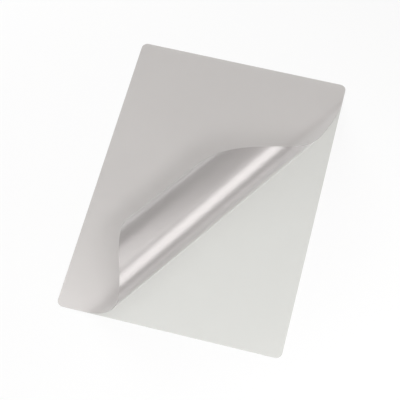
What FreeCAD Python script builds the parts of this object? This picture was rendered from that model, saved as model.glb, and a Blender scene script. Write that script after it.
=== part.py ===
# Laminating pouch: two films of one size, sealed along the far short edge,
# with the near right corner of the front film lifted and rolled back.
# Lengths in mm. X runs along the short edge, Y along the long edge, Z up.
# The origin is the centre of the underside.
import FreeCAD
import Part
import math
import os

V = FreeCAD.Vector

# The pouch
width = 216.0            # short edge, the A4 pouch size
length = 303.0           # long edge, the A4 pouch size
film_thickness = 0.25    # one film, the heavy 250 micron grade
corner_radius = 6.0      # rounding of all four corners

# The rolled corner. Film can't stretch, so it bends only along straight lines
# that run right across it. Each row is one such line: where it meets the right
# edge, as a share of that edge from its top; where it meets the bottom edge, as
# a share of that edge from its left; and how far the film has turned there, in
# degrees. The first row is the lift line.
bend_lines = [
    (0.033, 0.100, 0.0),
    (0.116, 0.222, 45.0),
    (0.308, 0.282, 70.0),
    (0.462, 0.388, 133.0),
    (0.631, 0.598, 197.0),
    (0.812, 0.817, 263.0),
]
# The tip is the rounded corner, where the last bend line cuts across it
tip_width = 2.8             # length of that line
tip_slope = 0.76            # how far it reaches along for each mm up
tip_gap = 1.0               # the tip's underside over the flat film
hidden_rows = 2             # rows at the end whose film lies inside the roll
faces_a_row = 2             # faces of the roll from one row to the next
lines_a_face = 6            # bend lines worked out for each of them
halvings = 40               # steps of the search for the tip's turn
join_gap = 0.001            # faces closer than this are joined


def smooth(values, place, level_start):
    # A smooth curve through evenly spaced values, read at a place along them.
    before = values[1] if level_start else 2.0 * values[0] - values[1]
    points = [before] + values + [2.0 * values[-1] - values[-2]]
    row = min(int(place), len(values) - 2)
    f = place - row
    p0, p1, p2, p3 = points[row:row + 4]
    bend = 2.0 * p0 - 5.0 * p1 + 4.0 * p2 - p3
    twist = 3.0 * (p1 - p2) + p3 - p0
    return p1 + 0.5 * f * (p2 - p0 + f * (bend + f * twist))


def tip_line():
    # The last bend line's place on the two edges, as the shares above give it.
    to_line = math.sqrt(corner_radius ** 2 - (tip_width / 2.0) ** 2)
    across = 1.0 / tip_slope
    up = corner_radius * (1.0 + across) - to_line * math.sqrt(1.0 + across ** 2)
    return 1.0 - up / length, 1.0 - tip_slope * up / width


def line_ends(share_down, share_along):
    # Where a bend line leaves the flat film: on the edges or the rounded corner.
    right = V(width / 2.0, length / 2.0 - share_down * length, 0.0)
    bottom = V(-width / 2.0 + share_along * width, -length / 2.0, 0.0)
    centre = V(width / 2.0 - corner_radius, -length / 2.0 + corner_radius, 0.0)
    along = bottom.sub(right)
    along.normalize()
    foot = centre.sub(right).dot(along)
    middle = right.add(V(along).multiply(foot))
    off_centre = middle.distanceToPoint(centre)
    half_chord = math.sqrt(max(corner_radius ** 2 - off_centre ** 2, 0.0))
    first = middle.sub(V(along).multiply(half_chord))
    last = middle.add(V(along).multiply(half_chord))
    return (first if right.y < centre.y else right,
            last if bottom.x > centre.x else bottom)


def rolled_lines(tip_turn):
    # Each bend line's two ends on the roll, on the film's underside, and the
    # direction through the film there.
    tip_down, tip_along = tip_line()
    downs = [row[0] for row in bend_lines] + [tip_down]
    alongs = [row[1] for row in bend_lines] + [tip_along]
    turns = [row[2] for row in bend_lines] + [tip_turn]
    lines_a_row = faces_a_row * lines_a_face
    count = len(bend_lines) * lines_a_row
    places = [k / lines_a_row for k in range(count + 1)]
    turned = [smooth(turns, place, True) for place in places]
    state = FreeCAD.Placement()
    lines = []
    for k, place in enumerate(places):
        right, bottom = line_ends(smooth(downs, place, False),
                                  smooth(alongs, place, False))
        bend = (turned[min(k + 1, count)] - turned[k - 1]) / 2.0 if k else 0.0
        half = FreeCAD.Rotation(right.sub(bottom), -bend / 2.0)
        through = state.Rotation.multVec(half.multVec(V(0.0, 0.0, 1.0)))
        lines.append((state.multVec(right), state.multVec(bottom), through))
        turn = FreeCAD.Placement(V(0.0, 0.0, 0.0), half.multiply(half), right)
        state = state.multiply(turn)
    return lines


def tail_low(lines):
    tail = lines[-hidden_rows * faces_a_row * lines_a_face:]
    return min(min(line[0].z, line[1].z) for line in tail)


# The tip's turn is the smallest that keeps it over the flat film
too_little = bend_lines[-1][2]
tip_turn = too_little + 180.0
for k in range(halvings):
    turn = (too_little + tip_turn) / 2.0
    if tail_low(rolled_lines(turn)) < film_thickness + tip_gap:
        too_little = turn
    else:
        tip_turn = turn
roll = rolled_lines(tip_turn)


def rounded_sheet(bottom, thickness):
    w = width / 2.0
    h = length / 2.0
    r = corner_radius
    d = r * (1.0 - math.sqrt(0.5))
    z = bottom
    edges = [
        Part.makeLine(V(-w + r, -h, z), V(w - r, -h, z)),
        Part.Arc(V(w - r, -h, z), V(w - d, -h + d, z), V(w, -h + r, z)).toShape(),
        Part.makeLine(V(w, -h + r, z), V(w, h - r, z)),
        Part.Arc(V(w, h - r, z), V(w - d, h - d, z), V(w - r, h, z)).toShape(),
        Part.makeLine(V(w - r, h, z), V(-w + r, h, z)),
        Part.Arc(V(-w + r, h, z), V(-w + d, h - d, z), V(-w, h - r, z)).toShape(),
        Part.makeLine(V(-w, h - r, z), V(-w, -h + r, z)),
        Part.Arc(V(-w, -h + r, z), V(-w + d, -h + d, z), V(-w + r, -h, z)).toShape(),
    ]
    return Part.Face(Part.Wire(edges)).extrude(V(0.0, 0.0, thickness))


def flat_edges(z):
    # The flat part's outline: the lift line first, then round to its start.
    w = width / 2.0
    h = length / 2.0
    r = corner_radius
    d = r * (1.0 - math.sqrt(0.5))
    start = V(roll[0][1].x, roll[0][1].y, z)
    end = V(roll[0][0].x, roll[0][0].y, z)
    return [
        Part.makeLine(start, end),
        Part.makeLine(end, V(w, h - r, z)),
        Part.Arc(V(w, h - r, z), V(w - d, h - d, z), V(w - r, h, z)).toShape(),
        Part.makeLine(V(w - r, h, z), V(-w + r, h, z)),
        Part.Arc(V(-w + r, h, z), V(-w + d, h - d, z), V(-w, h - r, z)).toShape(),
        Part.makeLine(V(-w, h - r, z), V(-w, -h + r, z)),
        Part.Arc(V(-w, -h + r, z), V(-w + d, -h + d, z), V(-w + r, -h, z)).toShape(),
        Part.makeLine(V(-w + r, -h, z), start),
    ]


def roll_edges(end, lift):
    # One long edge of the roll in pieces, one to a face: the edge on the
    # underside or, lifted, on the top side.
    up = V(0.0, 0.0, film_thickness)
    points = [line[end].add(up).add(V(line[2]).multiply(lift)) for line in roll]
    curve = Part.BSplineCurve()
    curve.interpolate(Points=points, Parameters=[float(k) for k in range(len(points))])
    starts = range(0, len(points) - 1, lines_a_face)
    return [curve.toShape(k, k + lines_a_face) for k in starts]


def rolled_film():
    low_edges = flat_edges(film_thickness)
    faces = [Part.Face(Part.Wire(low_edges)),
             Part.Face(Part.Wire(flat_edges(2.0 * film_thickness)))]
    for edge in low_edges[1:]:
        faces.append(edge.extrude(V(0.0, 0.0, film_thickness)))
    under_right = roll_edges(0, 0.0)
    under_bottom = roll_edges(1, 0.0)
    top_right = roll_edges(0, film_thickness)
    top_bottom = roll_edges(1, film_thickness)
    for one, other in ((under_right, under_bottom), (top_right, top_bottom),
                       (under_right, top_right), (under_bottom, top_bottom)):
        for edge, facing in zip(one, other):
            faces.append(Part.makeRuledSurface(edge, facing))
    ends = [edges[-1].valueAt(edges[-1].LastParameter)
            for edges in (under_right, under_bottom, top_right, top_bottom)]
    faces.append(Part.makeRuledSurface(Part.makeLine(ends[0], ends[1]),
                                       Part.makeLine(ends[2], ends[3])))
    shell = Part.makeCompound(faces)
    shell.sewShape(join_gap)
    solid = Part.makeSolid(Part.Shell(shell.Faces))
    if solid.Volume < 0.0:
        solid.reverse()
    return solid


back_film = rounded_sheet(0.0, film_thickness)
front_film = rolled_film()

print("tip turn", round(tip_turn, 1), "tail's lowest", round(tail_low(roll), 2),
      "tip width", round(roll[-1][0].distanceToPoint(roll[-1][1]), 2))
for name, shape in (("back_film", back_film), ("front_film", front_film)):
    box = shape.optimalBoundingBox(True)
    print(name, shape.ShapeType, shape.isValid(), shape.isClosed(), round(shape.Volume, 1),
          [round(v, 2) for v in (box.XMin, box.YMin, box.ZMin, box.XMax, box.YMax, box.ZMax)])

os.makedirs("parts", exist_ok=True)
back_film.exportStep("parts/back_film.step")
front_film.exportStep("parts/front_film.step")
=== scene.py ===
"""Laminating pouch: two satin films, one corner of the front film rolled back."""
import math
import bmesh
import bpy
from mathutils import Matrix, Vector


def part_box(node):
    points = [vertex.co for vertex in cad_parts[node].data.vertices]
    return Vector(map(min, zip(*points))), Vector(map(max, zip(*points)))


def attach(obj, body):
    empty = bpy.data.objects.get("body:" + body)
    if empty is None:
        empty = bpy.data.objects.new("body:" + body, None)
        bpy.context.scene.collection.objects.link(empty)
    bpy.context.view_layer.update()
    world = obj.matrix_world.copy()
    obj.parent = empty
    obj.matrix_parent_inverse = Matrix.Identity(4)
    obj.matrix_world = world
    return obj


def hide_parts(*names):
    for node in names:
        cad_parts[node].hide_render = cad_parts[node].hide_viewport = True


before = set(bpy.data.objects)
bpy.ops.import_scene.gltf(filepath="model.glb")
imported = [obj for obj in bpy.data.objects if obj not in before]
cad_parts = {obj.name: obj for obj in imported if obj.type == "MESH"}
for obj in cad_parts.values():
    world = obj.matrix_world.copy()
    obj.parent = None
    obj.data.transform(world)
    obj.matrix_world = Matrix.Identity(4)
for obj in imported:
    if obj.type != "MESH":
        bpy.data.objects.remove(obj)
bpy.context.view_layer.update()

# Sizes in metres. The outline and the film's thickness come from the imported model.
MM = 0.001
back_low, back_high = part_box("back_film")
POUCH_WIDTH = back_high[0] - back_low[0]
POUCH_LENGTH = back_high[1] - back_low[1]
FILM = back_high[2] - back_low[2]
HALF_WIDTH = POUCH_WIDTH / 2
HALF_LENGTH = POUCH_LENGTH / 2
CORNER_RADIUS = 6.0 * MM
CORNER_SEGMENTS = 10

# The rolled corner, as the part's source has it. Each row is a bend line: its
# share down the right edge, its share along the bottom edge, and the film's turn
# there in degrees. The first row is the lift line.
BEND_LINES = [
    (0.033, 0.100, 0.0),
    (0.116, 0.222, 45.0),
    (0.308, 0.282, 70.0),
    (0.462, 0.388, 133.0),
    (0.631, 0.598, 197.0),
    (0.812, 0.817, 263.0),
]
TIP_WIDTH = 2.8 * MM        # length of the last bend line, across the rounded corner
TIP_SLOPE = 0.76            # how far it reaches along for each metre up
TIP_GAP = 1.0 * MM          # the tip's underside over the flat film
HIDDEN_ROWS = 2             # rows at the end whose film lies inside the roll
LINES_A_ROW = 16            # bend lines worked out from one row to the next
HALVINGS = 30               # steps of the search for the tip's turn
ON_LINE = 0.01 * MM         # a point nearer than this lies on a bend line
CUT_MERGE = 1e-7            # cut points closer than this are one point
SHARP_EDGE = math.radians(35)


def smooth(values, place, level_start=False):
    """A smooth curve through evenly spaced values, read at a place along them."""
    before = values[1] if level_start else 2 * values[0] - values[1]
    points = [before, *values, 2 * values[-1] - values[-2]]
    row = min(int(place), len(values) - 2)
    f = place - row
    p0, p1, p2, p3 = points[row:row + 4]
    bend = 2 * p0 - 5 * p1 + 4 * p2 - p3
    twist = 3 * (p1 - p2) + p3 - p0
    return p1 + f / 2 * (p2 - p0 + f * (bend + f * twist))


def tip_shares():
    """The last bend line's shares, where it cuts across the rounded corner."""
    to_line = math.sqrt(CORNER_RADIUS ** 2 - (TIP_WIDTH / 2) ** 2)
    across = 1 / TIP_SLOPE
    up = CORNER_RADIUS * (1 + across) - to_line * math.sqrt(1 + across ** 2)
    return 1 - up / POUCH_LENGTH, 1 - TIP_SLOPE * up / POUCH_WIDTH


def flat_lines():
    """Each bend line's two ends on the flat film, from the lift line to the tip."""
    tip_down, tip_along = tip_shares()
    downs = [row[0] for row in BEND_LINES] + [tip_down]
    alongs = [row[1] for row in BEND_LINES] + [tip_along]
    lines = []
    for k in range(len(BEND_LINES) * LINES_A_ROW + 1):
        place = k / LINES_A_ROW
        right = Vector((HALF_WIDTH, HALF_LENGTH - smooth(downs, place) * POUCH_LENGTH, 0))
        bottom = Vector((smooth(alongs, place) * POUCH_WIDTH - HALF_WIDTH, -HALF_LENGTH, 0))
        lines.append((right, bottom))
    return lines


FLAT_LINES = flat_lines()
ROLL_RUN = (FLAT_LINES[0][0] - FLAT_LINES[0][1]).normalized()


def folds(tip_turn):
    """How each strip between two bend lines is carried from flat to the roll."""
    turns = [row[2] for row in BEND_LINES] + [tip_turn]
    last = len(FLAT_LINES) - 1
    turned = [math.radians(smooth(turns, k / LINES_A_ROW, True)) for k in range(last + 1)]
    state = Matrix.Identity(4)
    carried = [state]
    for k in range(1, last + 1):
        right, bottom = FLAT_LINES[k]
        bend = (turned[min(k + 1, last)] - turned[k - 1]) / 2
        turn = Matrix.Rotation(-bend, 4, right - bottom)
        state = state @ Matrix.Translation(right) @ turn @ Matrix.Translation(-right)
        carried.append(state)
    return carried


def settled_folds():
    """The folds whose tip just clears the flat film, as in the part's source."""
    too_little = BEND_LINES[-1][2]
    enough = too_little + 180
    first_hidden = len(FLAT_LINES) - HIDDEN_ROWS * LINES_A_ROW
    for _ in range(HALVINGS):
        turn = (too_little + enough) / 2
        carried = folds(turn)
        lowest = min((carried[k] @ end).z for k in range(first_hidden, len(FLAT_LINES))
                     for end in FLAT_LINES[k])
        if lowest < FILM + TIP_GAP:
            too_little = turn
        else:
            enough = turn
    return folds(enough)


FOLDS = settled_folds()


def past_line(point, k):
    """How far a point of the flat film lies past a bend line."""
    right, bottom = FLAT_LINES[k]
    run = (right - bottom).normalized()
    return (point.x - bottom.x) * run.y - (point.y - bottom.y) * run.x


def through_film(k):
    """The direction through the film just past a bend line, on the roll."""
    return FOLDS[k].to_3x3() @ Vector((0, 0, 1))


def on_the_roll(point):
    """Carry a point of the flat front film to its place on the roll."""
    low, high = -1, len(FLAT_LINES) - 1
    while high - low > 1:
        middle = (low + high) // 2
        if past_line(point, middle) > ON_LINE:
            low = middle
        else:
            high = middle
    if low < 0:
        return point.copy()
    foot = Vector((point.x, point.y, 0))
    through = through_film(low)
    if low + 1 < len(FOLDS) and past_line(point, low + 1) > -ON_LINE:
        through = (through + through_film(low + 1)).normalized()
    return FOLDS[low] @ foot + Vector((0, 0, FILM)) + through * (point.z - FILM)


def rounded_film(bottom):
    """One flat face with round corners, at a height."""
    bm = bmesh.new()
    corners = [bm.verts.new((x * HALF_WIDTH, y * HALF_LENGTH, bottom))
               for x, y in ((-1, -1), (1, -1), (1, 1), (-1, 1))]
    bm.faces.new(corners)
    bmesh.ops.bevel(bm, geom=corners, affect="VERTICES", offset=CORNER_RADIUS, offset_type="OFFSET",
                    segments=CORNER_SEGMENTS, profile=0.5, material=-1)
    return bm


def cut_strips(bm):
    """Cut the flat film along its bend lines."""
    for right, bottom in FLAT_LINES:
        run = (right - bottom).normalized()
        geom = bm.verts[:] + bm.edges[:] + bm.faces[:]
        bmesh.ops.bisect_plane(bm, geom=geom, plane_co=right, plane_no=(run.y, -run.x, 0),
                               dist=CUT_MERGE)


def thicken(bm, inner_on_top):
    """Give the film its thickness, upwards, and mark its coated inner side."""
    inner_side = bm.faces.layers.float.new("inner_side")
    for face in bm.faces:
        face[inner_side] = 0.0 if inner_on_top else 1.0
    top = bmesh.ops.extrude_face_region(bm, geom=bm.faces[:], use_keep_orig=True)
    for item in top["geom"]:
        if isinstance(item, bmesh.types.BMFace):
            item[inner_side] = 1.0 if inner_on_top else 0.0
    moved = [item for item in top["geom"] if isinstance(item, bmesh.types.BMVert)]
    bmesh.ops.translate(bm, verts=moved, vec=(0, 0, FILM))
    bmesh.ops.recalc_face_normals(bm, faces=bm.faces[:])


def crisp_edges(mesh):
    """Keep the film's cut edges crisp under smooth shading."""
    bm = bmesh.new()
    bm.from_mesh(mesh)
    for edge in bm.edges:
        if len(edge.link_faces) == 2:
            edge.smooth = edge.calc_face_angle(0.0) < SHARP_EDGE
    bm.to_mesh(mesh)
    bm.free()


def film_piece(name, bm, node, material):
    """Make a film's mesh a piece that stands for its node and rides on the part."""
    mesh = bpy.data.meshes.new(name)
    for face in bm.faces:
        face.smooth = True
    bm.to_mesh(mesh)
    bm.free()
    mesh.materials.append(material)
    crisp_edges(mesh)
    piece = bpy.data.objects.new(name, mesh)
    bpy.context.scene.collection.objects.link(piece)
    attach(piece, "root")
    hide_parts(node)


def set_inputs(node, **values):
    """Set a node's own sockets, named with _ for a space."""
    for name, value in values.items():
        node.inputs[name.replace("_", " ")].default_value = value


def film_material(name, outer, inner, outer_pearl, inner_pearl, roughness, sheen):
    """Satin polyester film: milky and pearly, another shade on its coated inner side; a darker inner
    colour, as on the rolled front film, is partly painted shade.
    """
    material = bpy.data.materials.new(name)
    material.use_nodes = True
    nodes = material.node_tree.nodes
    links = material.node_tree.links
    shader = nodes["Principled BSDF"]
    set_inputs(shader, Alpha=0.7, IOR=1.55, Coat_Weight=1.0, Coat_Roughness=0.25,
               Sheen_Weight=sheen, Sheen_Roughness=0.4)

    # Each side of the film has its own colour and pearl; the front film's dark inner colour is
    # partly painted shade on the roll
    side = nodes.new("ShaderNodeAttribute")
    side.attribute_name = "inner_side"
    film = nodes.new("ShaderNodeMix")
    film.data_type = "RGBA"
    set_inputs(film, A=(*outer, 1), B=(*inner, 1))
    links.new(side.outputs["Fac"], film.inputs["Factor"])
    pearl = nodes.new("ShaderNodeMapRange")
    set_inputs(pearl, To_Min=outer_pearl, To_Max=inner_pearl)
    links.new(side.outputs["Fac"], pearl.inputs["Value"])
    links.new(pearl.outputs["Result"], shader.inputs["Metallic"])

    # Faint clouding in the colour and the gloss
    place = nodes.new("ShaderNodeTexCoord")
    cloud = nodes.new("ShaderNodeTexNoise")
    set_inputs(cloud, Scale=9.0, Detail=3.0)
    links.new(place.outputs["Object"], cloud.inputs["Vector"])
    tint = nodes.new("ShaderNodeMix")
    tint.data_type = "RGBA"
    tint.blend_type = "MULTIPLY"
    set_inputs(tint, Factor=0.06)
    links.new(film.outputs["Result"], tint.inputs["A"])
    links.new(cloud.outputs["Fac"], tint.inputs["B"])
    links.new(tint.outputs["Result"], shader.inputs["Base Color"])
    haze = nodes.new("ShaderNodeMapRange")
    set_inputs(haze, To_Min=roughness - 0.03, To_Max=roughness + 0.03)
    links.new(cloud.outputs["Fac"], haze.inputs["Value"])
    links.new(haze.outputs["Result"], shader.inputs["Roughness"])

    # The satin face's fine grain
    grain = nodes.new("ShaderNodeTexNoise")
    set_inputs(grain, Scale=900.0, Detail=2.0)
    links.new(place.outputs["Object"], grain.inputs["Vector"])
    bump = nodes.new("ShaderNodeBump")
    set_inputs(bump, Strength=0.05, Distance=0.2 * MM)
    links.new(grain.outputs["Fac"], bump.inputs["Height"])
    links.new(bump.outputs["Normal"], shader.inputs["Normal"])
    return material


def back_film():
    """The back film lies flat on the floor, its inner side up."""
    material = film_material("back_film_satin", outer=(0.67, 0.67, 0.65), inner=(0.67, 0.675, 0.65),
                             outer_pearl=0.15, inner_pearl=0.1, roughness=0.5, sheen=0.0)
    bm = rounded_film(0.0)
    thicken(bm, inner_on_top=True)
    film_piece("back_sheet", bm, "back_film", material)


def front_film():
    """The front film lies on the back film, and rolls back past the lift line."""
    # Its inner colour, far darker than the back film's same coated side, is partly that side's own
    # tone and partly painted shade on the roll
    material = film_material("front_film_satin", outer=(0.69, 0.66, 0.65), inner=(0.40, 0.38, 0.375),
                             outer_pearl=0.27, inner_pearl=0.5, roughness=0.3, sheen=1.0)
    bm = rounded_film(FILM)
    cut_strips(bm)
    thicken(bm, inner_on_top=False)
    for vert in bm.verts:
        vert.co = on_the_roll(vert.co)
    bmesh.ops.recalc_face_normals(bm, faces=bm.faces[:])
    film_piece("front_sheet", bm, "front_film", material)


FLOOR_REACH = 4.0           # from the middle to each side
FLOOR_DROP = 0.2 * MM       # under the pouch, so that the two faces stay apart
FLOOR_GREY = 0.8
FLOOR_SEEN = 0.98           # the white that the camera sees
SEEN_SHARE = 0.7            # how much of it; the rest shows the light and the shadow


def floor_material():
    material = bpy.data.materials.new("white_floor")
    material.use_nodes = True
    nodes = material.node_tree.nodes
    links = material.node_tree.links
    shader = nodes["Principled BSDF"]
    set_inputs(shader, Base_Color=(FLOOR_GREY, FLOOR_GREY, FLOOR_GREY, 1), Roughness=0.9,
               Specular_IOR_Level=0.0)
    white = nodes.new("ShaderNodeEmission")
    set_inputs(white, Color=(FLOOR_SEEN, FLOOR_SEEN, FLOOR_SEEN, 1))
    path = nodes.new("ShaderNodeLightPath")
    share = nodes.new("ShaderNodeMath")
    share.operation = "MULTIPLY"
    share.inputs[1].default_value = SEEN_SHARE
    links.new(path.outputs["Is Camera Ray"], share.inputs[0])
    mix = nodes.new("ShaderNodeMixShader")
    links.new(share.outputs[0], mix.inputs["Fac"])
    links.new(shader.outputs[0], mix.inputs[1])
    links.new(white.outputs[0], mix.inputs[2])
    links.new(mix.outputs[0], nodes["Material Output"].inputs["Surface"])
    return material


def studio_floor():
    bm = bmesh.new()
    bmesh.ops.create_grid(bm, x_segments=1, y_segments=1, size=FLOOR_REACH)
    mesh = bpy.data.meshes.new("studio_floor")
    bm.to_mesh(mesh)
    bm.free()
    mesh.materials.append(floor_material())
    piece = bpy.data.objects.new("studio_floor", mesh)
    piece.location = (0, 0, -FLOOR_DROP)
    bpy.context.scene.collection.objects.link(piece)


def area_lamp(name, place, target, size, glow, along=ROLL_RUN, shadow=False, mirrored=True):
    """A soft box, its first side along a direction; glow is its brightness.

    One that isn't mirrored lights the film and leaves no gleam on it.
    """
    lamp = bpy.data.lights.new(name, "AREA")
    lamp.shape = "RECTANGLE"
    lamp.size, lamp.size_y = size
    lamp.energy = glow * math.pi * size[0] * size[1]
    lamp.use_shadow = shadow
    item = bpy.data.objects.new(name, lamp)
    bpy.context.scene.collection.objects.link(item)
    item.visible_glossy = mirrored
    aim = (Vector(target) - Vector(place)).normalized()
    side = (along - aim * along.dot(aim)).normalized()
    up = (-aim).cross(side)
    item.rotation_euler = Matrix((side, up, -aim)).transposed().to_euler()
    item.location = place


ROLL_TOP = (0.0, 0.0, 0.05)
ROLL_MIDDLE = (0.0, 0.0, 0.03)
SHEEN_SPOT = (-0.40, -0.12, 0.0)
SHEEN_RUN = Vector((-0.85, 0.52, 0.0))


def studio_lamps():
    # The bright streak along the roll, and its soft far side
    area_lamp("streak_lamp", (0.79, -0.395, 0.83), ROLL_TOP, (0.8, 0.7), 3.2)
    area_lamp("halo_lamp", (0.42, -0.15, 1.16), ROLL_TOP, (0.8, 0.38), 0.6)
    # The flat film's gleam, which grows towards its near left corner
    area_lamp("sheen_lamp", (-0.40, -0.12, 1.0), SHEEN_SPOT, (1.2, 0.6), 2.0, along=SHEEN_RUN)
    # The main light, which lays a narrow shade behind the roll
    area_lamp("key_lamp", (0.617, -0.742, 1.149), ROLL_MIDDLE, (0.8, 0.3), 10.5,
              shadow=True, mirrored=False)
    # Low light on the roll's two long sides
    area_lamp("edge_lamp", (0.51, -0.62, 0.12), ROLL_MIDDLE, (0.8, 0.2), 3.0,
              shadow=True, mirrored=False)
    area_lamp("rim_lamp", (-0.51, 0.62, 0.22), ROLL_MIDDLE, (0.8, 0.35), 4.0,
              shadow=True, mirrored=False)


def studio_world():
    world = bpy.data.worlds.new("studio_world")
    bpy.context.scene.world = world
    world.use_nodes = True
    set_inputs(world.node_tree.nodes["Background"], Color=(1.0, 0.985, 0.97, 1), Strength=0.3)


# The camera stands where the photograph's outline of the sheet puts it
SENSOR = 36.0
FOCAL_PIXELS = 1220.0
IMAGE_PIXELS = 400.0
CAMERA_PLACE = Vector((0.1371, -0.5256, 1.0670))
CAMERA_TARGET = Vector((-0.0048, -0.0115, 0.0))
CAMERA_ROLL = math.radians(-1.07)


def studio_camera():
    lens = bpy.data.cameras.new("camera")
    lens.lens = FOCAL_PIXELS / IMAGE_PIXELS * SENSOR
    lens.sensor_width = SENSOR
    camera = bpy.data.objects.new("camera", lens)
    bpy.context.scene.collection.objects.link(camera)
    view = (CAMERA_TARGET - CAMERA_PLACE).to_track_quat("-Z", "Y").to_matrix()
    turned = view @ Matrix.Rotation(CAMERA_ROLL, 3, "Z")
    camera.matrix_world = Matrix.Translation(CAMERA_PLACE) @ turned.to_4x4()
    bpy.context.scene.camera = camera


back_film()
front_film()
studio_floor()
studio_lamps()
studio_world()
studio_camera()
bpy.context.scene.view_settings.view_transform = "Standard"
